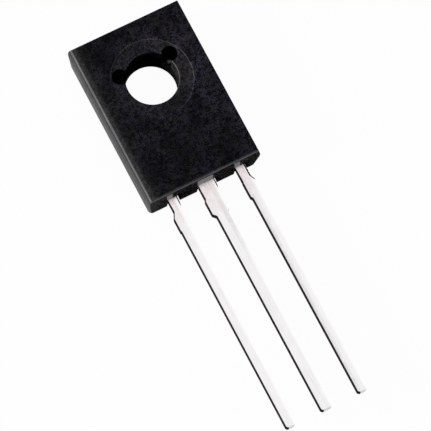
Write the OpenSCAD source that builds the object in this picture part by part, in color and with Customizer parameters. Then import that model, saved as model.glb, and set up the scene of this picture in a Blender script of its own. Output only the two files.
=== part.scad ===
// Bipolar power transistor in a three-lead plastic package with a mounting hole.
// The origin is on the mounting face, at the axis of the mounting hole.
// +Z points out of the front face, and the leads run towards -Y.

/* [Moulded body] */
// Width of the body at its parting line
body_w = 7.4; // [7:0.1:8.6]
// Distance from the hole axis to the top edge
top_reach = 3.85; // [3.4:0.05:5]
// Distance from the hole axis to the edge that the leads leave by
lead_edge_reach = 6.95; // [6.8:0.05:9]
// Thickness from the mounting face to the front face
body_t = 2.5; // [2.35:0.05:3.4]
// Draft angle of the side walls behind the parting line
back_draft = 4; // [2:0.5:6]
// Draft angle of the side walls in front of the parting line
front_draft = 8; // [3:0.5:10]
// Radius of the edges round the front face
front_edge_r = 0.16; // [0.05:0.01:0.25]
// Radius of the four upright corners
corner_r = 0.12; // [0.06:0.01:0.6]

/* [Mounting hole] */
// Diameter of the bore
hole_d = 3.2; // [2.8:0.05:3.4]
// Rounding of the bore's rim in the washer seat
rim_r = 0.09; // [0.04:0.01:0.15]
// Diameter of the sunk washer seat round the hole
seat_d = 5; // [4.9:0.05:5.6]
// Depth of the washer seat
seat_depth = 0.07; // [0.03:0.01:0.2]
// Diameter of the two pockets that the mould's hold-down pins leave
pin_pocket_d = 0.98; // [0.7:0.02:1.2]
// Distance from the hole axis to each pocket
pin_pocket_reach = 1.92; // [1.8:0.01:2.05]
// Angle of each pocket above the horizontal
pin_pocket_angle = 30; // [15:1:60]

/* [Lead frame] */
// Thickness of the copper strip that the frame is stamped from
strip_t = 0.5; // [0.35:0.01:0.6]
// Height of the leads' back face above the mounting face
lead_rise = 1.25; // [0.95:0.01:1.3]
// Distance between the axes of neighbouring leads
lead_pitch = 2.36; // [2.3:0.01:2.54]
// Length of the leads beyond the body
lead_len = 15.4; // [5:0.1:20]
// Width of the two outer leads
outer_lead_w = 0.62; // [0.5:0.01:0.8]
// Width of the middle lead
middle_lead_w = 0.74; // [0.5:0.01:0.9]
// Bevel at the cut corners of the lead tips
tip_bevel = 0.11; // [0.02:0.01:0.2]

/* [Lead shoulders] */
// Distance from the body to where the trimmed tie bar widens the leads
tie_start = 1; // [0.5:0.05:1.5]
// Distance from the body to the end of the trimmed tie bar
tie_end = 2.08; // [1.7:0.05:3]
// Half width of the middle lead's shoulder where it leaves the body
middle_root = 0.5; // [0.4:0.01:0.55]
// Half width of the middle lead at the trimmed tie bar
middle_tie = 0.57; // [0.56:0.01:0.7]
// Reach of an outer lead's shoulder towards the middle lead
inner_root = 0.38; // [0.32:0.01:0.45]
// The same reach at the trimmed tie bar
inner_tie = 0.4; // [0.33:0.01:0.5]
// Reach of an outer lead's shoulder away from the middle lead
outer_root = 0.15; // [0.1:0.01:0.3]
// The same reach at the trimmed tie bar
outer_tie = 0.35; // [0.31:0.01:0.5]

/* [Lead slots] */
// Depth of the slots that free the leads in the back half of the end face
slot_depth = 0.5; // [0.2:0.05:0.8]
// Clearance of a slot beside the lead's shoulder
slot_gap = 0.16; // [0.12:0.01:0.3]
// Sideways offset of the slots from their leads
slot_offset = 0.26; // [0:0.01:0.3]

/* [Collector pad] */
// Width of the pad
pad_w = 5; // [4.6:0.1:5.6]
// Distance from the hole axis to the pad's top edge
pad_top = 2.9; // [2.6:0.05:3.2]
// Distance from the hole axis to the start of the jog up to the lead plane
jog_start = 4.4; // [4.2:0.05:4.5]
// Hole through the pad, which the moulded sleeve lines
pad_hole_d = 3.8; // [3.7:0.05:4.4]
// Angle of the jog
jog_angle = 50; // [40:1:65]
// Inside radius of the jog's two bends
jog_r = 0.2; // [0.1:0.01:0.3]
// Width of the jog
jog_w = 1.4; // [1.1:0.05:1.8]
// Radius of the grip notches in the pad's long edges
grip_r = 0.3; // [0.1:0.01:0.4]

/* [Bond posts] */
// Width of the emitter and base posts inside the body
post_w = 1.7; // [1.4:0.05:1.8]
// Length of the posts
post_len = 1.2; // [0.9:0.05:1.4]
// Distance from the body's lead edge to the posts
post_inset = 0.75; // [0.6:0.05:1]

/* [Die and wires] */
// Side of the square silicon die
die_side = 1.5; // [1:0.05:1.8]
// Thickness of the die
die_t = 0.25; // [0.15:0.01:0.35]
// Thickness of the solder under the die
solder_t = 0.05; // [0.03:0.01:0.1]
// Rim of solder that shows round the die
solder_rim = 0.1; // [0.05:0.01:0.2]
// Distance from the hole axis to the centre of the die
die_reach = 3.25; // [3.2:0.05:3.4]
// Diameter of the aluminium bond wires
wire_d = 0.2; // [0.12:0.01:0.25]
// Height of the wires' arch above the straight line between its feet
wire_arch = 0.5; // [0.3:0.01:0.55]
// Distance of each wire's foot on the die from the die's centre line
wire_spread = 0.4; // [0.25:0.01:0.5]

/* [Hidden] */

$fn = 64;
EPS = 0.01;
ARC_STEPS = 5;
EMITTER_SIDE = -1;
BASE_SIDE = 1;

parting_z = lead_rise + strip_t;
tip_y = -(lead_edge_reach + lead_len);
inner_end_y = -(lead_edge_reach - post_inset);
post_y = inner_end_y + post_len;
die_y = -die_reach;
die_z = strip_t + solder_t;
die_top = die_z + die_t;

// Points on an arc of radius r about a centre, from angle a0 to a1.
function arc(centre, r, a0, a1) =
    [for (i = [0:ARC_STEPS])
        let (a = a0 + (a1 - a0) * i / ARC_STEPS)
            [centre.x + r * cos(a), centre.y + r * sin(a)]];

function flipped(points) = [for (i = [len(points) - 1:-1:0]) points[i]];
function mirrored(points) = [for (p = points) [-p.x, p.y]];

// One side wall of the body, from the mounting face up to its rounded front edge.
// reach is the distance of the parting line from the hole axis.
function wall_points(reach) =
    let (z = body_t - front_edge_r,
         x = reach - (z - parting_z) * tan(front_draft) - front_edge_r / cos(front_draft))
        concat([[reach - parting_z * tan(back_draft), 0], [reach, parting_z]],
               arc([x, z], front_edge_r, front_draft, 90));

// The wall profile on both sides, with its own reach on each.
module wall_section(right, left) {
    polygon(concat(wall_points(right), flipped(mirrored(wall_points(left)))));
}

module rounded_plan() {
    full = [body_w, top_reach + lead_edge_reach];
    centre = [0, (top_reach - lead_edge_reach) / 2];
    translate(centre) {
        square(full - [2 * corner_r, 0], center = true);
        square(full - [0, 2 * corner_r], center = true);
        for (sx = [-1, 1], sy = [-1, 1])
            translate([sx * (full.x / 2 - corner_r), sy * (full.y / 2 - corner_r)])
                circle(r = corner_r);
    }
}

// Both halves of the moulding, drafted away from the parting line on all four sides.
module body_block() {
    reach = top_reach + lead_edge_reach;
    intersection() {
        linear_extrude(body_t) rounded_plan();
        translate([0, reach, 0]) rotate([90, 0, 0])
            linear_extrude(2 * reach) wall_section(body_w / 2, body_w / 2);
        translate([-body_w, 0, 0]) rotate([90, 0, 90])
            linear_extrude(2 * body_w) wall_section(top_reach, lead_edge_reach);
    }
}

// Rounding at a bore's rim, on a face at z = 0 with the material below it.
module rim_rounding(bore_r) {
    rotate_extrude()
        polygon(concat([[bore_r - EPS, EPS], [bore_r - EPS, -rim_r]],
                       arc([bore_r + rim_r, -rim_r], rim_r, 180, 90),
                       [[bore_r + rim_r, EPS]]));
}

module mounting_bore() {
    seat_z = body_t - seat_depth;
    translate([0, 0, -EPS]) cylinder(d = hole_d, h = body_t + 2 * EPS);
    translate([0, 0, seat_z]) rim_rounding(hole_d / 2);
    translate([0, 0, seat_z])
        cylinder(d1 = seat_d - seat_depth, d2 = seat_d + EPS, h = seat_depth + EPS);
}

module pin_pockets() {
    for (a = [pin_pocket_angle, 180 - pin_pocket_angle])
        rotate(a) translate([pin_pocket_reach, 0, strip_t])
            cylinder(d = pin_pocket_d, h = body_t);
}

// A slot in the back half of the end face, from one shoulder edge to the other.
module lead_slot(from_x, to_x) {
    translate([from_x - slot_gap + slot_offset, -lead_edge_reach - EPS, -EPS])
        cube([to_x - from_x + 2 * slot_gap, slot_depth + EPS, parting_z + EPS]);
}

module lead_slots() {
    lead_slot(-middle_root, middle_root);
    lead_slot(lead_pitch - inner_root, lead_pitch + outer_root);
    lead_slot(-lead_pitch - outer_root, -lead_pitch + inner_root);
}

// Half of a lead's plan outline, as reaches from its axis: at the body, at the trimmed
// tie bar and below it.
function lead_edge(root, tie, half_w) =
    let (body_y = -lead_edge_reach, ease = abs(tie - root), step = abs(tie - half_w) / 2)
        [[root, body_y + post_inset], [root, body_y - tie_start + ease],
         [tie, body_y - tie_start - ease], [tie, body_y - tie_end + step],
         [half_w, body_y - tie_end - step],
         [half_w, tip_y + tip_bevel], [half_w - tip_bevel, tip_y]];

module middle_lead_plan() {
    side = lead_edge(middle_root, middle_tie, middle_lead_w / 2);
    polygon(concat(side, flipped(mirrored(side))));
}

// An outer lead about its own axis, with its outer side on +X.
module outer_lead_plan() {
    outer = lead_edge(outer_root, outer_tie, outer_lead_w / 2);
    inner = lead_edge(inner_root, inner_tie, outer_lead_w / 2);
    polygon(concat(outer, flipped(mirrored(inner))));
}

// Straight run that is left between the jog's two bends.
function jog_slope() =
    (lead_rise - (2 * jog_r + strip_t) * (1 - cos(jog_angle))) / sin(jog_angle);
function jog_run() =
    (2 * jog_r + strip_t) * sin(jog_angle) + jog_slope() * cos(jog_angle);

// Side view of the strip's jog from the pad plane up to the lead plane, along +X.
module jog_profile() {
    low = [jog_start, strip_t + jog_r];
    high = [jog_start + jog_run(), lead_rise - jog_r];
    lap = lead_edge_reach - post_inset;
    polygon(concat([[jog_start, 0]],
                   arc(low, jog_r + strip_t, -90, jog_angle - 90),
                   arc(high, jog_r, 90 + jog_angle, 90),
                   [[lap, lead_rise], [lap, parting_z]],
                   arc(high, jog_r + strip_t, 90, 90 + jog_angle),
                   arc(low, jog_r, jog_angle - 90, -90)));
}

module pad_shape() {
    length = pad_top + jog_start;
    difference() {
        translate([-pad_w / 2, -jog_start, 0]) cube([pad_w, length, strip_t]);
        translate([0, 0, -EPS]) cylinder(d = pad_hole_d, h = strip_t + 2 * EPS);
        for (sx = [-1, 1], share = [0.2, 0.5])
            translate([sx * pad_w / 2, -jog_start + share * length, -EPS])
                cylinder(r = grip_r, h = strip_t + 2 * EPS);
    }
}

// The jog and the middle lead, which meet the pad's lower edge face to face.
module collector_lead_shape() {
    translate([jog_w / 2, 0, 0]) rotate([90, 0, -90])
        linear_extrude(jog_w) jog_profile();
    translate([0, 0, lead_rise]) linear_extrude(strip_t) middle_lead_plan();
}

// Emitter or base lead with its bond post, on the side given by the sign.
module outer_lead_shape(side) {
    mirror([side < 0 ? 1 : 0, 0, 0]) translate([lead_pitch, 0, lead_rise]) {
        linear_extrude(strip_t) outer_lead_plan();
        translate([outer_tie - post_w + EPS, inner_end_y, 0])
            cube([post_w, post_len, strip_t]);
    }
}

module die_shape() {
    translate([-die_side / 2, die_y - die_side / 2, die_z])
        cube([die_side, die_side, die_t]);
}

module solder_shape() {
    full = die_side + 2 * solder_rim;
    translate([-full / 2, die_y - full / 2, strip_t]) cube([full, full, solder_t]);
}

// Bond wire from the die to a post: two flat feet and an arch between them.
module wire_shape(side) {
    foot_h = wire_d * 0.6;
    foot_len = 2 * wire_d;
    start = [side * wire_spread, die_y];
    end = [side * (lead_pitch + outer_tie - post_w / 2), post_y - foot_len];
    flat = norm(end - start);
    climb = parting_z - die_top;
    chord = norm([flat, climb]);
    radius = (chord * chord / 4 + wire_arch * wire_arch) / (2 * wire_arch);
    sweep = 2 * asin(chord / 2 / radius);
    heading = atan2(end.y - start.y, end.x - start.x);
    translate([start.x, start.y, die_top]) rotate(heading) {
        translate([-foot_len / 2, -wire_d / 2, 0]) cube([foot_len, wire_d, foot_h]);
        translate([flat - foot_len / 2, -wire_d / 2, climb]) cube([foot_len, wire_d, foot_h]);
        translate([0, 0, foot_h]) rotate([90, -atan2(climb, flat), 0])
            translate([chord / 2, wire_arch - radius, 0])
                rotate(90 - sweep / 2) rotate_extrude(angle = sweep)
                    translate([radius, 0]) circle(d = wire_d, $fn = 24);
    }
}

module moulded_body() {
    color("#232227") difference() {
        body_block();
        mounting_bore();
        pin_pockets();
        lead_slots();
        pad_shape();
        collector_lead_shape();
        outer_lead_shape(EMITTER_SIDE);
        outer_lead_shape(BASE_SIDE);
        solder_shape();
        die_shape();
        wire_shape(EMITTER_SIDE);
        wire_shape(BASE_SIDE);
    }
}

module collector_pad() { color("#e4e2e3") pad_shape(); }
module collector_lead() { color("#e4e2e3") collector_lead_shape(); }
module emitter_lead() { color("#e4e2e3") outer_lead_shape(EMITTER_SIDE); }
module base_lead() { color("#e4e2e3") outer_lead_shape(BASE_SIDE); }
module silicon_die() { color("#5a6068") die_shape(); }
module die_solder() { color("#9a9a98") solder_shape(); }
module emitter_wire() { color("#c9cacc") wire_shape(EMITTER_SIDE); }
module base_wire() { color("#c9cacc") wire_shape(BASE_SIDE); }

moulded_body();
collector_pad();
collector_lead();
emitter_lead();
base_lead();
silicon_die();
die_solder();
emitter_wire();
base_wire();
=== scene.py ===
"""Bipolar power transistor in a moulded three-lead package, lying on its back."""

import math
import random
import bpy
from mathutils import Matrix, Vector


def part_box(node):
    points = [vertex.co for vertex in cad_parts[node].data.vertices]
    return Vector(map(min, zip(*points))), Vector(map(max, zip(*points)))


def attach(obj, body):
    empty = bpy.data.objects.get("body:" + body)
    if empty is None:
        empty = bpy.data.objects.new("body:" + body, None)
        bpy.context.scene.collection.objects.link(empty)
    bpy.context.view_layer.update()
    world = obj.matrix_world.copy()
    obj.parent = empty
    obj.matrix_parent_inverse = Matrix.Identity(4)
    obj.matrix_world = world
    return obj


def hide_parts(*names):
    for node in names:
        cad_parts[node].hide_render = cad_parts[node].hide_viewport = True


bl_info = {
    "name": "Bipolar transistor",
    "version": (1, 0, 0),
    "blender": (4, 5, 0),
    "location": "3D View > Sidebar > Transistor",
    "description": "Moulded power transistor with its tinned lead frame and a studio stage",
    "category": "Object",
}

import bmesh
import bpy
from bpy.props import FloatProperty, FloatVectorProperty, PointerProperty
from mathutils import Vector

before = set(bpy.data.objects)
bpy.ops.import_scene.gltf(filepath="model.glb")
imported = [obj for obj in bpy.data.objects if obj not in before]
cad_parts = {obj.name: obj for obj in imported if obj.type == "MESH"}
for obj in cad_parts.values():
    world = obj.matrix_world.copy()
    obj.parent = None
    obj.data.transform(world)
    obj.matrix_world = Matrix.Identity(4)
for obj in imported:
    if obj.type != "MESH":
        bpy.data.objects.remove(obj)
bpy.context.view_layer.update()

MM = 0.001
ROOT_BODY = "root"
BODY_LOW, BODY_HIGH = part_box("moulded_body")
EMITTER_LOW, EMITTER_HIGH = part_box("emitter_lead")
PAD_LOW, PAD_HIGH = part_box("collector_pad")
LEAD_BACK_Z = EMITTER_LOW.z
PARTING_Z = EMITTER_HIGH.z
SHADE_LINE_Z = BODY_HIGH.z - 0.29 * MM
LEAD_EDGE_Y = BODY_LOW.y
TIP_Y = EMITTER_LOW.y
BACK_DRAFT = math.radians(4)
SEAT_DEPTH = 0.07 * MM
HOLE_ZONE = 1.8 * MM
SEAT_ZONE = 2.46 * MM

KEY_AIM = Vector((0.0, -4.0 * MM, 0.0))
FLOOR_DROP = 0.01 * MM

# Places on the finishes, in millimetres
SEAT_RADIUS = 2.5
# Where the painted reflections of the leads sit on the end face
EMITTER_REFLECTION_X = -2.36
BASE_REFLECTION_X = 2.13
# Where the pad's painted glint sits
GLINT_SPOT_X = 1.77
GLINT_SPOT_Y = 1.07


# Properties


def length(name, description, default):
    """A length in metres with enough digits for a part this small."""
    return FloatProperty(
        name=name, description=description, default=default, min=0.0, precision=6, unit="LENGTH"
    )


def share(name, description, default, low=0.0, high=1.0):
    """A plain number between two limits."""
    return FloatProperty(name=name, description=description, default=default, min=low, max=high)


def colour(name, description, default):
    """A linear colour."""
    return FloatVectorProperty(
        name=name, description=description, default=default, size=3, min=0.0, max=1.0, subtype="COLOR"
    )


class BodyLook(bpy.types.PropertyGroup):
    """Sizes and colours of the moulded body."""

    edge_round: length("Edge rounding", "Rounding of the moulded edges", 0.03 * MM)
    corner_round: length("Corner rounding", "Rounding of the back's four corners", 0.28 * MM)
    rim_round: length("Pocket rim rounding", "Rounding of the pin pockets' rims", 0.02 * MM)
    # A thin dark strip along each lead's right side near the body.
    dark_strip_width: length("Flash width", "Width of the resin left beside the leads", 0.08 * MM)
    dark_strip_reach: length("Flash reach", "How far that resin reaches along the leads", 0.6 * MM)
    grain_depth: length("Grain depth", "Depth of the moulded grain", 0.006 * MM)
    compound: colour("Compound", "Black moulding compound on the faces", (0.0069, 0.0065, 0.0094))
    wall_compound: colour("Wall compound", "The same on the walls", (0.0072, 0.0069, 0.0074))
    # Lighter tone along the left edge, the front edge and the seat rim: a painted highlight from the
    # light on the left.
    shining: colour("Worn edge", "Compound in its lighter tone along the edges", (0.045, 0.043, 0.044))
    # Lighter tone on the end face above the lead roots: a painted reflection of the leads.
    lead_reflection: colour("Root patch", "Lighter compound above the lead roots", (0.3, 0.285, 0.3))
    face_gloss: share("Face gloss", "Specular level of the front and back", 0.03)
    wall_gloss: share("Wall gloss", "Specular level of the back half's drafted walls", 0.28)
    edge_gloss: share("Edge gloss", "Specular level of the rounded edges", 0.75)
    shaded_gloss: share("Deep gloss", "Specular level of the bore, the pockets and the end face", 0.0)
    roughness: share("Roughness", "Roughness of the front and back", 0.6)
    edge_roughness: share("Edge roughness", "Roughness of the rounded edges", 0.54)


class LeadLook(bpy.types.PropertyGroup):
    """Sizes and colours of the lead frame."""

    front_roll: length("Front roll", "Rolled front edge, on the left side and at the tip", 0.045 * MM)
    back_burr: length("Back edge", "Small break of the leads' back edges and the pad's", 0.015 * MM)
    corner_round: length("Corner rounding", "Rounding of the upright corners", 0.045 * MM)
    draw_depth: length("Draw line depth", "Depth of the drawn lines along the leads", 0.0012 * MM)
    lead_pitch: length("Lead pitch", "Distance between the leads' axes", 2.36 * MM)
    tin: colour("Tin", "Tin plating", (0.9, 0.885, 0.89))
    bright_tin: colour("Bright tin", "Tin on the brighter right of each lead", (0.99, 0.985, 0.985))
    warm_tin: colour("Warm tin", "Tin with a warm tint near the body", (0.82, 0.7, 0.71))
    # Near-black pad front and one lighter spot: painted shade in the pin pockets and a painted glint.
    pocket_shade: colour("Stained pad", "Pad metal under a film of resin", (0.005, 0.005, 0.005))
    pocket_glint: colour("Bare pad", "Pad metal where the film is worn through", (0.3, 0.29, 0.29))
    cut_end: colour("Cut end", "Cut ends of the leads", (0.7, 0.69, 0.69))
    # Near-black tone of the strip's sides and the leads' left rolls: a painted dark reflection, not the
    # metal's own colour.
    sheared_painted_dark: colour("Sheared edge", "Strip's sides, kept darker than the metal", (0.005, 0.0045, 0.0045))
    roughness: share("Roughness", "Roughness of the tin plating", 0.34)


class InnerLook(bpy.types.PropertyGroup):
    """Colours of the die, its solder and the bond wires."""

    silicon: colour("Silicon", "Polished silicon", (0.1, 0.11, 0.13))
    solder: colour("Solder", "Dull solder", (0.32, 0.32, 0.31))
    wire: colour("Bond wire", "Aluminium bond wire", (0.75, 0.75, 0.77))


class StageLook(bpy.types.PropertyGroup):
    """Floor, light and camera."""

    floor: colour("Floor", "Plain pale floor", (0.8, 0.8, 0.8))
    floor_size: length("Floor size", "Side of the square floor", 3.0)
    clean_share: share("Clean share", "How much of the floor's shade the background hides", 0.96)
    ambient: share("Ambient", "Strength of the even light from all round", 0.7, 0.0, 2.0)
    key_power: FloatProperty(
        name="Key power", description="Power of the soft light", default=0.5, min=0.0, unit="POWER"
    )
    key_size: length("Key size", "Side of the soft light", 0.055)
    key_place: FloatVectorProperty(
        name="Key place",
        description="Where the soft light stands",
        default=(-0.265, 0.07, 0.115),
        size=3,
        precision=5,
        subtype="TRANSLATION",
        unit="LENGTH",
    )
    camera_place: FloatVectorProperty(
        name="Camera place",
        description="Where the camera stands",
        default=(-0.03509635, -0.05554725, 0.19362303),
        size=3,
        precision=5,
        subtype="TRANSLATION",
        unit="LENGTH",
    )
    camera_turn: FloatVectorProperty(
        name="Camera turn",
        description="How the camera is turned",
        default=(math.radians(16.59555), math.radians(-2.78840), math.radians(-27.44222)),
        size=3,
        subtype="EULER",
        unit="ROTATION",
    )
    lens: FloatProperty(
        name="Lens", description="Focal length in millimetres on a 36 mm frame", default=283.99, min=1.0
    )


# Finishes


class Output:
    """An output of a finish's node, used in sums on values."""

    def __init__(self, finish, node, socket):
        self.finish = finish
        self.node = node
        self.socket = node.outputs[socket]

    def pick(self, socket):
        return Output(self.finish, self.node, socket)

    def _math(self, operation, first, second):
        return self.finish.node("ShaderNodeMath", {"operation": operation}, {0: first, 1: second})

    def __add__(self, other):
        return self._math("ADD", self, other)

    def __radd__(self, other):
        return self._math("ADD", other, self)

    def __sub__(self, other):
        return self._math("SUBTRACT", self, other)

    def __rsub__(self, other):
        return self._math("SUBTRACT", other, self)

    def __mul__(self, other):
        return self._math("MULTIPLY", self, other)

    def __rmul__(self, other):
        return self._math("MULTIPLY", other, self)

    def __gt__(self, other):
        return self._math("GREATER_THAN", self, other)

    def __lt__(self, other):
        return self._math("LESS_THAN", self, other)

    def absolute(self):
        return self.finish.node("ShaderNodeMath", {"operation": "ABSOLUTE"}, {0: self})

    def larger(self, other):
        return self._math("MAXIMUM", self, other)


class Finish:
    """A node tree, filled through one method that makes any node."""

    def __init__(self, tree):
        self.tree = tree
        self.tree.nodes.clear()

    def node(self, kind, settings=None, inputs=None, output=0):
        """Makes a node: its settings first, then the values and links of its sockets."""
        made = self.tree.nodes.new(kind)
        for name, value in (settings or {}).items():
            setattr(made, name, value)
        for name, value in (inputs or {}).items():
            if isinstance(value, Output):
                self.tree.links.new(value.socket, made.inputs[name])
            else:
                made.inputs[name].default_value = value
        if len(made.outputs) == 0:
            return None
        return Output(self, made, output)

    def place(self, stretch=(1.0, 1.0, 1.0)):
        """The place on the piece in millimetres, stretched along its axes."""
        here = self.node("ShaderNodeTexCoord").pick("Object")
        scale = [side / MM for side in stretch]
        return self.node("ShaderNodeVectorMath", {"operation": "MULTIPLY"}, {0: here, 1: scale})

    def axes(self, vector):
        split = self.node("ShaderNodeSeparateXYZ", None, {0: vector})
        return split.pick("X"), split.pick("Y"), split.pick("Z")

    def noise(self, vector, scale, detail=2.0, roughness=0.5):
        inputs = {"Vector": vector, "Scale": scale, "Detail": detail, "Roughness": roughness}
        return self.node("ShaderNodeTexNoise", {"noise_dimensions": "3D"}, inputs)

    def ramp(self, value, low, high, first=0.0, last=1.0):
        """A value that goes smoothly from first to last as value goes from low to high."""
        inputs = {"Value": value, "From Min": low, "From Max": high, "To Min": first, "To Max": last}
        return self.node("ShaderNodeMapRange", {"interpolation_type": "SMOOTHSTEP"}, inputs)

    def mix(self, factor, first, second):
        """A colour between two others."""
        ends = [tone if isinstance(tone, Output) else opaque(tone) for tone in (first, second)]
        inputs = {"Factor": factor, 6: ends[0], 7: ends[1]}
        return self.node("ShaderNodeMix", {"data_type": "RGBA"}, inputs, 2)

    def bump(self, height, depth):
        """A normal raised by the height, up to that depth in metres."""
        inputs = {"Height": height, "Distance": depth, "Strength": 1.0}
        return self.node("ShaderNodeBump", None, inputs)

    def surface(self, inputs):
        """A Principled shader with these inputs, as the material's surface."""
        shader = self.node("ShaderNodeBsdfPrincipled", None, inputs)
        self.node("ShaderNodeOutputMaterial", None, {"Surface": shader})


def opaque(tone):
    """A colour with full alpha."""
    return (tone[0], tone[1], tone[2], 1.0)


def shaded(tone, factor):
    """A colour made darker or lighter."""
    return tuple(min(1.0, part * factor) for part in tone[:3])


def new_material(name, tone):
    """An empty material and the finish that fills it."""
    made = bpy.data.materials.new(name)
    made.use_nodes = True
    made.diffuse_color = opaque(tone)
    return made, Finish(made.node_tree)


def compound_material(look, name, base, gloss, roughness, shaded_copy=False):
    """Black moulding compound with a fine grain, soft clouds and the parting witness.

    A shaded copy has painted light on the end face, more towards the left, a painted reflection
    of the leads above their roots, painted shade down the bore and the pockets and painted light
    on the bore's right wall. The paler left edge, front edge and seat rim, the paler right of the
    seat and bore and the sheen towards the right of the face stand for light from the left and not
    for another material.
    """
    made, finish = new_material(name, base)
    place = finish.place()
    side_x, along_y, height_z = finish.axes(place)
    grain = finish.noise(place, 4.6, 3.0, 0.7)
    speck = finish.noise(place, 12.0, 2.0, 0.6)
    cloud = finish.noise(finish.place((0.7, 0.45, 0.7)), 1.1, 3.0, 0.55)
    tint = finish.noise(place, 2.3, 2.0, 0.5)
    witness = finish.ramp((height_z - PARTING_Z / MM).absolute(), 0.02, 0.06, 1.0, 0.0)
    flat = finish.node("ShaderNodeCombineXYZ", None, {"X": side_x, "Y": along_y})
    radius = finish.node("ShaderNodeVectorMath", {"operation": "LENGTH"}, {0: flat}, "Value")
    # The seat is a little lighter than the face; its rise upwards and to the right and its brighter rim
    # line, strongest on the right, are painted light.
    seat = 0.7 + finish.ramp(along_y, -2.0, -0.6, 0.0, 0.6) + finish.ramp(side_x, 0.6, 2.0, 0.0, 0.9)
    seat = seat * finish.ramp(radius, SEAT_RADIUS - 0.08, SEAT_RADIUS + 0.02, 1.0, 0.0)
    ring = finish.ramp((radius - SEAT_RADIUS).absolute(), 0.01, 0.07, 1.0, 0.0)
    ring = ring * finish.ramp(side_x, -1.5, 1.0, 0.4, 1.8)
    # Painted sheen: the face is lighter towards the right and upper right.
    right_sheen = finish.ramp(side_x + along_y * 0.35, 0.4, 2.8, 0.0, 0.6)
    right_sheen = right_sheen + finish.ramp(side_x, 1.8, 3.3, 0.0, 0.35)
    far_ends = finish.ramp(along_y, -2.6, -4.0, 1.0, 0.86)
    far_ends = far_ends * finish.ramp(along_y - side_x * 0.5, 2.6, 4.4, 1.0, 0.75)
    fine = 0.05 + 2.0 * finish.ramp(grain * 0.5 + speck * 0.5, 0.435, 0.565)
    level = fine * finish.ramp(cloud, 0.34, 0.64, 0.55, 1.3)
    level = level * (1.0 + seat * 0.3 + ring + right_sheen) * far_ends * (1.0 - witness * 0.35)
    # Painted light on the end face, more to the left, and on the bore's right wall; painted shade down
    # the bore and the pockets.
    if shaded_copy:
        end = finish.ramp(along_y, LEAD_EDGE_Y / MM + 0.15, LEAD_EDGE_Y / MM + 0.2, 1.0, 0.0)
        lit_bore = finish.ramp(side_x, 1.35, 1.5) * finish.ramp(radius, 1.75, 1.65)
        bore_shade = finish.ramp(radius, 2.5, 2.44)
        end_face_light = end * finish.ramp(side_x, -2.8, -3.4, 1.8, 4.5)
        level = level * (1.0 - bore_shade * 0.75 + end_face_light + lit_bore * 2.6)
    blue = (base[0] * 0.98, base[1] * 0.93, base[2] * 1.1)
    brown = (base[0] * 1.08, base[1] * 1.06, base[2] * 0.9)
    bright = finish.mix(finish.ramp(tint, 0.35, 0.65), shaded(blue, 8.0), shaded(brown, 8.0))
    tone = finish.mix(level * 0.125, (0.0, 0.0, 0.0), bright)
    # Painted highlight: lighter along the left edge, the front edge's roll and the seat rim, as if lit
    # from the left.
    shining = finish.ramp(side_x, -3.08, -3.42) * 0.75 + finish.ramp(side_x, -2.3, -3.3) * 0.12
    shining_front_edge = finish.ramp(along_y, -6.7, -6.74) * finish.ramp(along_y, -6.84, -6.81)
    shining = shining + shining_front_edge * finish.ramp(height_z, 2.3, 2.36)
    shining = (shining + seat * finish.ramp(height_z, 2.41, 2.43) * 0.1) * (0.55 + fine * 0.35)
    tone = finish.mix(shining, tone, look.shining)
    # Painted reflection of the leads on the end face, above their roots.
    if shaded_copy:
        reflections = lead_reflections(finish, side_x, height_z) * end
        tone = finish.mix(reflections * (0.4 + 1.0 * speck), tone, look.lead_reflection)
    rough = finish.ramp(cloud, 0.35, 0.65, roughness + 0.05, roughness - 0.05)
    finish.surface(
        {
            "Base Color": tone,
            "Roughness": rough + witness * 0.3,
            "Specular IOR Level": gloss,
            "Normal": finish.bump(grain * 0.5 + speck * 0.5 - witness * 0.5, look.grain_depth),
        }
    )
    return made


def lead_reflections(finish, side_x, height_z):
    """1 above the lead roots, where the end face takes a painted reflection of the leads."""
    middle_one = finish.ramp(side_x.absolute(), 0.46, 0.54, 1.0, 0.0)
    emitter_one = finish.ramp((side_x - EMITTER_REFLECTION_X).absolute(), 0.14, 0.22, 0.9, 0.0)
    base_one = finish.ramp((side_x - BASE_REFLECTION_X).absolute(), 0.14, 0.22, 0.9, 0.0)
    above = finish.ramp(height_z, PARTING_Z / MM, PARTING_Z / MM + 0.03)
    under = finish.ramp(height_z, 2.3, 2.36, 1.0, 0.0)
    return middle_one.larger(emitter_one).larger(base_one) * above * under


def compound_materials(look):
    """The moulding's finishes: faces, outer walls, a shaded copy for the bore, the pockets and the
    end face, and a glossier copy for the edges that face the light.
    """
    face, wall = look.compound, look.wall_compound
    return [
        compound_material(look, "moulding_compound", face, look.face_gloss, look.roughness),
        compound_material(look, "moulding_compound_wall", wall, look.wall_gloss, look.roughness),
        compound_material(look, "moulding_compound_shaded", wall, look.shaded_gloss, 0.8, True),
        compound_material(look, "moulding_compound_lit_edge", wall, look.edge_gloss, look.edge_roughness),
    ]


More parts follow.
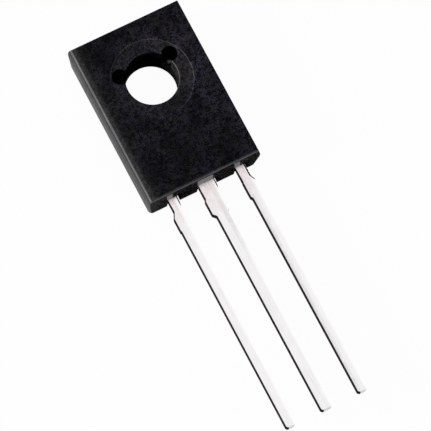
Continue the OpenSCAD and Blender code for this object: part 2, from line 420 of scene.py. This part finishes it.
def tin_material(look):
    """Tin plating with fine lines drawn along the leads and a warm tint at the body.

    The brighter right of each lead stands for light on it and not for another material.
    """
    made, finish = new_material("tinned_copper", look.tin)
    along = finish.noise(finish.place((1.0, 0.04, 1.0)), 9.0, 4.0, 0.6)
    fine = finish.noise(finish.place((1.0, 0.12, 1.0)), 30.0, 3.0, 0.6)
    blotch = finish.noise(finish.place((1.0, 0.6, 1.0)), 2.2, 3.0, 0.6)
    side_x, along_y = finish.axes(finish.place())[:2]
    half_pitch = look.lead_pitch / MM / 2
    wrapped = {0: side_x, 1: half_pitch, 2: -half_pitch}
    across = finish.node("ShaderNodeMath", {"operation": "WRAP"}, wrapped)
    mottle = finish.noise(finish.place((1.0, 0.5, 1.0)), 7.0, 3.0, 0.65)
    middle_one = side_x.absolute() < half_pitch
    base_one = side_x > half_pitch
    on_leads = along_y < LEAD_EDGE_Y / MM + 1.0
    shoulder = finish.ramp(along_y, LEAD_EDGE_Y / MM - 7.0, LEAD_EDGE_Y / MM - 2.5)
    uneven = finish.ramp(mottle * 0.6 + blotch * 0.4, 0.4, 0.58, 0.4, 1.0)
    band = finish.ramp(across, 0.02, 0.16) * finish.ramp(across, 0.44, 0.34) * middle_one * shoulder
    band = band.larger(finish.ramp(across, 0.0, -0.2) * base_one * 0.9) * on_leads
    bright_side = finish.ramp(across - middle_one * 0.06, 0.1, 0.3) * on_leads
    near_body = finish.ramp(along_y, LEAD_EDGE_Y / MM - 2.6, LEAD_EDGE_Y / MM - 0.2) * on_leads
    tint = near_body * finish.ramp(mottle * 0.5 + blotch * 0.5, 0.38, 0.6, 0.25, 1.0)
    tone = finish.mix(finish.ramp(blotch, 0.35, 0.7), look.tin, shaded(look.tin, 0.96))
    tone = finish.mix(finish.ramp(along, 0.5, 0.72), tone, shaded(look.tin, 0.9))
    tone = finish.mix(band * uneven, tone, shaded(look.tin, 0.8))
    tone = finish.mix(tint, tone, look.warm_tin)
    tone = finish.mix(bright_side * (1.0 - band * 0.8) * 0.9, tone, look.bright_tin)
    rough = finish.ramp(along, 0.3, 0.7, look.roughness - 0.06, look.roughness + 0.08)
    finish.surface(
        {
            "Base Color": tone,
            "Metallic": 1.0,
            "Roughness": rough,
            "Normal": finish.bump(along * 0.7 + fine * 0.3, look.draw_depth),
        }
    )
    return made


def sheared_painted_dark_material(look):
    """Sides of the strip: a smooth burnished band towards the front and rough torn metal behind it, in a
    near-black painted dark reflection.
    """
    made, finish = new_material("sheared_edge_painted_dark", look.sheared_painted_dark)
    place = finish.place()
    height_z = finish.axes(place)[2]
    torn = finish.noise(finish.place((1.0, 1.0, 0.25)), 16.0, 4.0, 0.7)
    wander = finish.noise(place, 3.0, 2.0) * 0.12
    front_share = finish.ramp(
        height_z + wander, PARTING_Z / MM - 0.16, PARTING_Z / MM - 0.08
    )
    tone = finish.mix(torn, shaded(look.sheared_painted_dark, 0.6), shaded(look.sheared_painted_dark, 1.5))
    tone = finish.mix(front_share, tone, shaded(look.sheared_painted_dark, 2.0))
    finish.surface(
        {
            "Base Color": tone,
            "Metallic": 0.0,
            "Roughness": finish.ramp(front_share, 0.0, 1.0, 0.85, 0.6),
            "Specular IOR Level": 0.02,
            "Normal": finish.bump(torn * (1.0 - front_share), 0.012 * MM),
        }
    )
    return made


def pocket_shade_material(look):
    """Near-black pad metal, a painted shade at the bottom of the pin pockets, with one painted glint in
    the right pocket.
    """
    made, finish = new_material("pad_pocket_shade", look.pocket_shade)
    place = finish.place()
    side_x, along_y = finish.axes(place)[:2]
    offset = {"X": side_x - GLINT_SPOT_X, "Y": along_y - GLINT_SPOT_Y}
    flat = finish.node("ShaderNodeCombineXYZ", None, offset)
    distance = finish.node("ShaderNodeVectorMath", {"operation": "LENGTH"}, {0: flat}, "Value")
    uneven = finish.noise(place, 9.0, 3.0, 0.6)
    pocket_glint = finish.ramp(distance + uneven * 0.1, 0.12, 0.2, 1.0, 0.0)
    finish.surface(
        {
            "Base Color": finish.mix(pocket_glint, look.pocket_shade, look.pocket_glint),
            "Roughness": finish.ramp(uneven, 0.3, 0.7, 0.5, 0.7),
            "Specular IOR Level": 0.02,
            "Normal": finish.bump(uneven, 0.004 * MM),
        }
    )
    return made


def plain_metal(name, tone, metallic, roughness, scale):
    """A metal or mineral of one tone with a fine uneven sheen."""
    made, finish = new_material(name, tone)
    spread = finish.noise(finish.place(), scale, 3.0, 0.6)
    finish.surface(
        {
            "Base Color": finish.mix(spread, shaded(tone, 0.85), shaded(tone, 1.1)),
            "Metallic": metallic,
            "Roughness": finish.ramp(spread, 0.3, 0.7, roughness - 0.08, roughness + 0.08),
            "Normal": finish.bump(spread, 0.002 * MM),
        }
    )
    return made


# Meshes


def merged_copy(name):
    """A node's own mesh with its doubles merged and its flat faces made whole."""
    made = bmesh.new()
    made.from_mesh(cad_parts[name].data)
    bmesh.ops.remove_doubles(made, verts=made.verts, dist=0.0001 * MM)
    bmesh.ops.dissolve_limit(
        made,
        angle_limit=math.radians(0.3),
        use_dissolve_boundaries=False,
        verts=made.verts,
        edges=made.edges,
    )
    made.normal_update()
    return made


def bevel(mesh, edges, offset, segments):
    """Rounds the edges."""
    bmesh.ops.bevel(
        mesh,
        geom=edges,
        offset=offset,
        offset_type="OFFSET",
        affect="EDGES",
        segments=segments,
        profile=0.5,
        material=-1,
        clamp_overlap=False,
        loop_slide=True,
    )


def sharp_edges(mesh, least, test):
    """The edges that turn by at least that many degrees and pass the test."""
    limit = math.radians(least)
    return [
        edge
        for edge in mesh.edges
        if edge.is_manifold and edge.calc_face_angle(0.0) > limit and test(edge)
    ]


def middle(edge):
    """The middle of an edge."""
    return (edge.verts[0].co + edge.verts[1].co) / 2


def smooth_curved_faces(mesh, largest):
    """Small faces that turn softly into a neighbour are shaded smooth, and flats stay flat."""
    soft = math.radians(0.4), math.radians(32.0)
    for face in mesh.faces:
        turns = [e.calc_face_angle(0.0) for e in face.edges if e.is_manifold]
        curved = any(soft[0] < turn < soft[1] for turn in turns)
        face.smooth = curved and face.calc_area() < largest
    for edge in mesh.edges:
        if edge.is_manifold and edge.calc_face_angle(0.0) > soft[1]:
            edge.smooth = False


def finished(mesh, name, materials, nodes):
    """Makes the piece from its mesh, rides it on the body and lets it stand for its nodes."""
    data = bpy.data.meshes.new(name)
    mesh.to_mesh(data)
    mesh.free()
    for material in materials:
        data.materials.append(material)
    piece = bpy.data.objects.new(name, data)
    bpy.context.scene.collection.objects.link(piece)
    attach(piece, ROOT_BODY)
    if nodes:
        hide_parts(*nodes)
    return piece


def cut_beyond(mesh, place, outwards):
    """Cuts off what lies beyond a plane and closes the cut."""
    found = bmesh.ops.bisect_plane(
        mesh,
        geom=mesh.verts[:] + mesh.edges[:] + mesh.faces[:],
        dist=0.0001 * MM,
        plane_co=place,
        plane_no=outwards,
        clear_outer=True,
    )
    rim = [part for part in found["geom_cut"] if isinstance(part, bmesh.types.BMEdge)]
    bmesh.ops.holes_fill(mesh, edges=rim, sides=0)


def round_back_corners(mesh, radius, cuts):
    """Rounds the upright corners with narrow flats, more and more from the parting line back."""
    sharp = 0.1 * MM
    inset = PARTING_Z * math.tan(BACK_DRAFT)
    for side_x in (-1, 1):
        for side_y in (-1, 1):
            reach_y = BODY_HIGH.y if side_y > 0 else -BODY_LOW.y
            for step in range(cuts):
                angle = (step + 0.5) / cuts * math.pi / 2
                across = Vector((side_x * math.cos(angle), side_y * math.sin(angle), 0.0))
                corner = Vector((side_x * BODY_HIGH.x, side_y * reach_y, PARTING_Z))
                reach = corner.dot(across)
                shrink = math.cos(angle) + math.sin(angle)
                at_parting = reach - sharp * (shrink - 1.0)
                at_back = reach - inset * shrink - radius * (shrink - 1.0)
                slope = (at_parting - at_back) / PARTING_Z
                outwards = Vector((across.x, across.y, -slope)).normalized()
                place = across * at_parting + Vector((0.0, 0.0, PARTING_Z))
                cut_beyond(mesh, place, outwards)


def build_body(look):
    """The moulding with its edges rounded as they leave the mould."""
    mesh = merged_copy("moulded_body")
    edge_z = 0.002 * MM

    def is_back_edge(edge):
        ends = [v.co for v in edge.verts]
        outside = any(abs(c.x) > PAD_HIGH.x + 0.3 * MM or c.y < PAD_LOW.y - 0.5 * MM for c in ends)
        outside = outside or any(c.y > PAD_HIGH.y + 0.3 * MM for c in ends)
        return all(c.z < edge_z for c in ends) and outside

    def is_slot_edge(edge):
        ends = [v.co for v in edge.verts]
        return all(c.y < LEAD_EDGE_Y + 0.55 * MM and c.z < PARTING_Z + edge_z for c in ends)

    def is_wanted(edge):
        return is_back_edge(edge) or is_slot_edge(edge)

    round_back_corners(mesh, look.corner_round, 8)
    bevel(mesh, sharp_edges(mesh, 60.0, is_wanted), look.edge_round, 2)
    bmesh.ops.bisect_plane(
        mesh,
        geom=mesh.verts[:] + mesh.edges[:] + mesh.faces[:],
        dist=0.0001 * MM,
        plane_co=(0.0, 0.0, SHADE_LINE_Z),
        plane_no=(0.0, 0.0, 1.0),
    )
    seat_z = BODY_HIGH.z - SEAT_DEPTH

    def is_pocket_rim(edge):
        ends = [v.co for v in edge.verts]
        far = all(Vector((c.x, c.y)).length > 1.7 * MM for c in ends)
        return far and all(abs(c.z - seat_z) < edge_z for c in ends)

    bevel(mesh, sharp_edges(mesh, 70.0, is_pocket_rim), look.rim_round, 2)
    mesh.normal_update()
    for face in mesh.faces:
        face.material_index = body_finish(face)
    smooth_curved_faces(mesh, 0.35 * MM * MM)
    materials = compound_materials(look)
    return finished(mesh, "moulded_body_skin", materials, ["moulded_body"])


def body_finish(face):
    """0 for the faces, 1 for the outer walls, 2 for the shaded copy and 3 for a glossier copy
    given mostly to edges facing the light on the left, so that their highlight falls on one side.
    """
    centre = face.calc_center_median()
    normal = face.normal
    from_hole = Vector((centre.x, centre.y)).length
    if abs(normal.z) > 0.98:
        return 0
    if normal.z > 0.2:
        if from_hole < HOLE_ZONE:
            return 3 if normal.x < -0.2 and centre.y < 1.0 * MM else 2
        if normal.y < -0.3:
            return 3 if 0.3 < normal.z < 0.9 else 2
        # Rounded edges facing left get the glossier copy, those facing right the plain face: a highlight
        # given to one side.
        return 3 if normal.x < -0.3 else 0
    in_slots = centre.y < LEAD_EDGE_Y + 0.6 * MM and abs(centre.x) < BODY_HIGH.x - 0.3 * MM
    if from_hole < SEAT_ZONE or in_slots or normal.y < -0.8:
        return 2
    # The band of the left wall just under the roll takes the shaded copy: a painted shade line.
    return 2 if centre.z > SHADE_LINE_Z and normal.x < -0.5 else 1


def build_lead(name, node, axis_x, look, materials):
    """A lead with its corners rounded, its front edges rolled and its sides and left roll near-black, a
    painted dark reflection.
    """
    mesh = merged_copy(node)
    outside = LEAD_EDGE_Y + 0.1 * MM
    thick = PARTING_Z - LEAD_BACK_Z
    rolled_tip = TIP_Y + 0.02 * MM

    def is_corner(edge):
        ends = [v.co for v in edge.verts]
        upright = abs(ends[0].z - ends[1].z) > 0.9 * thick and max(c.y for c in ends) < outside
        beside = [e for v in edge.verts for e in v.link_edges if e is not edge]
        return upright and min(e.calc_length() for e in beside) > 2.4 * look.corner_round

    bevel(mesh, sharp_edges(mesh, 20.0, is_corner), look.corner_round, 3)

    def level_edges(height):
        def is_level(edge):
            ends = [v.co for v in edge.verts]
            level = all(abs(c.z - height) < 0.002 * MM for c in ends)
            return level and min(c.y for c in ends) < outside

        return sharp_edges(mesh, 60.0, is_level)

    left = [e for e in level_edges(PARTING_Z) if middle(e).x < axis_x or middle(e).y < rolled_tip]
    bevel(mesh, left, look.front_roll, 3)
    bevel(mesh, level_edges(LEAD_BACK_Z), look.back_burr, 1)
    mesh.normal_update()
    for face in mesh.faces:
        centre = face.calc_center_median()
        at_tip = centre.y < TIP_Y + 0.2 * MM
        on_left = centre.x < axis_x - (0.16 * MM if at_tip else 0.0)
        # The sides, the left roll and the left half of the tip take the near-black finish: a painted
        # dark reflection.
        left_roll = on_left and face.normal.x < 0.12 and 0.0 < face.normal.z < 0.98
        face.material_index = 1 if abs(face.normal.z) < 0.2 or left_roll else 0
        if at_tip and not on_left and face.normal.y < -0.1:
            face.material_index = 2
    smooth_curved_faces(mesh, 0.2 * MM * MM)
    return finished(mesh, name, materials, [node])


def build_pad(look, materials):
    """The collector pad with its stamped edges broken and its front near-black, a painted shade in the
    pin pockets.
    """
    mesh = merged_copy("collector_pad")
    bevel(mesh, sharp_edges(mesh, 60.0, lambda edge: True), look.back_burr, 1)
    mesh.normal_update()
    for face in mesh.faces:
        face.material_index = 1 if face.normal.z > 0.5 else 0
    smooth_curved_faces(mesh, 0.2 * MM * MM)
    return finished(mesh, "collector_pad_skin", materials, ["collector_pad"])


def right_outline(node, centre_x):
    """The right side of a lead's front outline outside the body, as (y, x) from root to tip."""
    mesh = merged_copy(node)
    outline = [
        (v.co.y, v.co.x)
        for v in mesh.verts
        if abs(v.co.z - PARTING_Z) < 0.01 * MM and v.co.x > centre_x and v.co.y < LEAD_EDGE_Y + 0.8 * MM
    ]
    mesh.free()
    return sorted(outline, reverse=True)


def outline_x(outline, y):
    """Where an outline runs at that y."""
    for (y0, x0), (y1, x1) in zip(outline, outline[1:]):
        if y1 <= y <= y0 and y0 > y1:
            return x0 + (x1 - x0) * (y0 - y) / (y0 - y1)
    return outline[-1][1]


def add_dark_strip(mesh, rng, outline, reach, width):
    """A ragged dark strip along a lead's right side, from the body outwards."""
    first = len(mesh.verts)
    made = bmesh.ops.create_cube(mesh, size=1.0)["verts"]
    sides = {e for v in made for e in v.link_edges if abs(e.verts[0].co.y - e.verts[1].co.y) > 0.5}
    bmesh.ops.subdivide_edges(mesh, edges=list(sides), cuts=9, use_grid_fill=True)
    mesh.verts.ensure_lookup_table()
    levels = {}
    for vert in mesh.verts[first:]:
        share_y = round(0.5 - vert.co.y, 3)
        if share_y not in levels:
            levels[share_y] = rng.uniform(0.75, 1.15) * (1.0 - 0.45 * share_y**4)
        y = LEAD_EDGE_Y + 0.02 * MM - share_y * reach
        edge = outline_x(outline, y)
        outer = vert.co.x > 0
        x = edge + width * levels[share_y] if outer else edge - 0.02 * MM
        z = PARTING_Z - 0.006 * MM if vert.co.z > 0 else LEAD_BACK_Z + 0.06 * MM
        vert.co = Vector((x, y, z))


def build_dark_strips(look, lead_pitch, material):
    """Thin ragged dark strips along the leads' right sides, near the body."""
    rng = random.Random(7)
    mesh = bmesh.new()
    runs = (
        ("emitter_lead", -lead_pitch, look.dark_strip_reach, look.dark_strip_width),
        ("collector_lead", 0.0, look.dark_strip_reach, look.dark_strip_width * 0.9),
        ("base_lead", lead_pitch, look.dark_strip_reach * 1.9, look.dark_strip_width * 1.2),
    )
    for node, centre_x, reach, width in runs:
        add_dark_strip(mesh, rng, right_outline(node, centre_x), reach, width)
    bmesh.ops.recalc_face_normals(mesh, faces=mesh.faces)
    return finished(mesh, "dark_lead_strips", [material], [])


# Operators


class TRANSISTOR_OT_body(bpy.types.Operator):
    """Makes the moulded body"""

    bl_idname = "transistor.body"
    bl_label = "Moulded body"

    def execute(self, context):
        look = context.scene.transistor_body
        lead_pitch = context.scene.transistor_leads.lead_pitch
        body = build_body(look)
        build_dark_strips(look, lead_pitch, body.data.materials["moulding_compound_shaded"])
        return {"FINISHED"}


class TRANSISTOR_OT_leads(bpy.types.Operator):
    """Makes the three tinned leads and the collector pad"""

    bl_idname = "transistor.leads"
    bl_label = "Leads and pad"

    def execute(self, context):
        look = context.scene.transistor_leads
        cut_end = plain_metal("cut_end", look.cut_end, 1.0, 0.4, 14.0)
        materials = [tin_material(look), sheared_painted_dark_material(look), cut_end]
        build_lead("emitter_lead_skin", "emitter_lead", -look.lead_pitch, look, materials)
        build_lead("collector_lead_skin", "collector_lead", 0.0, look, materials)
        build_lead("base_lead_skin", "base_lead", look.lead_pitch, look, materials)
        build_pad(look, [materials[0], pocket_shade_material(look)])
        return {"FINISHED"}


class TRANSISTOR_OT_inner(bpy.types.Operator):
    """Finishes the die, its solder and the bond wires"""

    bl_idname = "transistor.inner"
    bl_label = "Die and wires"

    def execute(self, context):
        look = context.scene.transistor_inner
        silicon = plain_metal("silicon", look.silicon, 0.0, 0.18, 6.0)
        solder = plain_metal("solder", look.solder, 1.0, 0.5, 9.0)
        wire = plain_metal("bond_wire", look.wire, 1.0, 0.35, 20.0)
        finishes = {
            "silicon_die": silicon,
            "die_solder": solder,
            "emitter_wire": wire,
            "base_wire": wire,
        }
        for name, material in finishes.items():
            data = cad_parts[name].data
            data.materials.clear()
            data.materials.append(material)
        return {"FINISHED"}


class TRANSISTOR_OT_stage(bpy.types.Operator):
    """Makes the floor, the light and the camera"""

    bl_idname = "transistor.stage"
    bl_label = "Studio stage"

    def execute(self, context):
        look = context.scene.transistor_stage
        build_floor(look)
        build_light(context.scene, look)
        build_camera(context.scene, look)
        context.scene.view_settings.view_transform = "Standard"
        return {"FINISHED"}


def clean_rays(finish):
    """1 for rays that should see a clean background, 0 for the light on the object."""
    path = finish.node("ShaderNodeLightPath")
    seen = path.pick("Is Camera Ray").larger(path.pick("Is Glossy Ray"))
    return seen.larger(path.pick("Is Transmission Ray"))


def build_floor(look):
    """A plain pale floor that shows white and keeps a faint shadow."""
    mesh = bmesh.new()
    bmesh.ops.create_grid(mesh, x_segments=1, y_segments=1, size=look.floor_size / 2)
    bmesh.ops.translate(mesh, verts=mesh.verts, vec=(0.0, 0.0, -FLOOR_DROP))
    data = bpy.data.meshes.new("studio_floor")
    mesh.to_mesh(data)
    mesh.free()
    made, finish = new_material("floor", look.floor)
    shade = finish.node("ShaderNodeBsdfDiffuse", None, {"Color": opaque(look.floor)})
    white = finish.node("ShaderNodeEmission", None, {"Strength": 1.0})
    both = finish.node(
        "ShaderNodeMixShader", None, {0: clean_rays(finish) * look.clean_share, 1: shade, 2: white}
    )
    below = finish.node("ShaderNodeNewGeometry").pick("Backfacing")
    clear = finish.node("ShaderNodeBsdfTransparent")
    both = finish.node("ShaderNodeMixShader", None, {0: below, 1: both, 2: clear})
    finish.node("ShaderNodeOutputMaterial", None, {"Surface": both})
    data.materials.append(made)
    floor = bpy.data.objects.new("studio_floor", data)
    bpy.context.scene.collection.objects.link(floor)


def build_light(scene, look):
    """Even light from all round and one soft light on the left."""
    world = bpy.data.worlds.new("studio")
    world.use_nodes = True
    finish = Finish(world.node_tree)
    strength = finish.ramp(clean_rays(finish), 0.0, 1.0, look.ambient, 1.0)
    light = finish.node(
        "ShaderNodeBackground", None, {"Color": (1.0, 1.0, 1.0, 1.0), "Strength": strength}
    )
    finish.node("ShaderNodeOutputWorld", None, {"Surface": light})
    scene.world = world
    lamp = bpy.data.lights.new("key", "AREA")
    lamp.shape = "SQUARE"
    lamp.size = look.key_size
    lamp.energy = look.key_power
    key = bpy.data.objects.new("key", lamp)
    key.location = look.key_place
    aim = KEY_AIM - key.location
    key.rotation_euler = aim.to_track_quat("-Z", "Y").to_euler()
    scene.collection.objects.link(key)


def build_camera(scene, look):
    """The camera, above the front face and to the left of the leads."""
    data = bpy.data.cameras.new("camera")
    data.sensor_width = 36.0
    data.lens = look.lens
    data.clip_start = 0.01
    data.clip_end = 10.0
    camera = bpy.data.objects.new("camera", data)
    camera.location = look.camera_place
    camera.rotation_euler = look.camera_turn
    scene.collection.objects.link(camera)
    scene.camera = camera


class TRANSISTOR_PT_panel(bpy.types.Panel):
    """Lists the transistor's operators and settings"""

    bl_idname = "TRANSISTOR_PT_panel"
    bl_label = "Bipolar transistor"
    bl_space_type = "VIEW_3D"
    bl_region_type = "UI"
    bl_category = "Transistor"

    def draw(self, context):
        for name, operator in STEPS:
            settings = getattr(context.scene, name)
            box = self.layout.box()
            box.operator(operator)
            for prop in settings.__annotations__:
                box.prop(settings, prop)


STEPS = (
    ("transistor_body", "transistor.body"),
    ("transistor_leads", "transistor.leads"),
    ("transistor_inner", "transistor.inner"),
    ("transistor_stage", "transistor.stage"),
)
LOOKS = {
    "transistor_body": BodyLook,
    "transistor_leads": LeadLook,
    "transistor_inner": InnerLook,
    "transistor_stage": StageLook,
}
OPERATORS = (
    TRANSISTOR_OT_body,
    TRANSISTOR_OT_leads,
    TRANSISTOR_OT_inner,
    TRANSISTOR_OT_stage,
    TRANSISTOR_PT_panel,
)


def register():
    """Registers the classes and puts their settings on the scene."""
    for made in (*LOOKS.values(), *OPERATORS):
        bpy.utils.register_class(made)
    for name, look in LOOKS.items():
        setattr(bpy.types.Scene, name, PointerProperty(type=look))


def unregister():
    """Takes off what register put on."""
    for name in LOOKS:
        delattr(bpy.types.Scene, name)
    for made in reversed((*LOOKS.values(), *OPERATORS)):
        bpy.utils.unregister_class(made)


def main():
    """Makes the part, piece by piece, and then the stage."""
    register()
    bpy.ops.transistor.body()
    bpy.ops.transistor.leads()
    bpy.ops.transistor.inner()
    bpy.ops.transistor.stage()


if __name__ == "__main__":
    main()
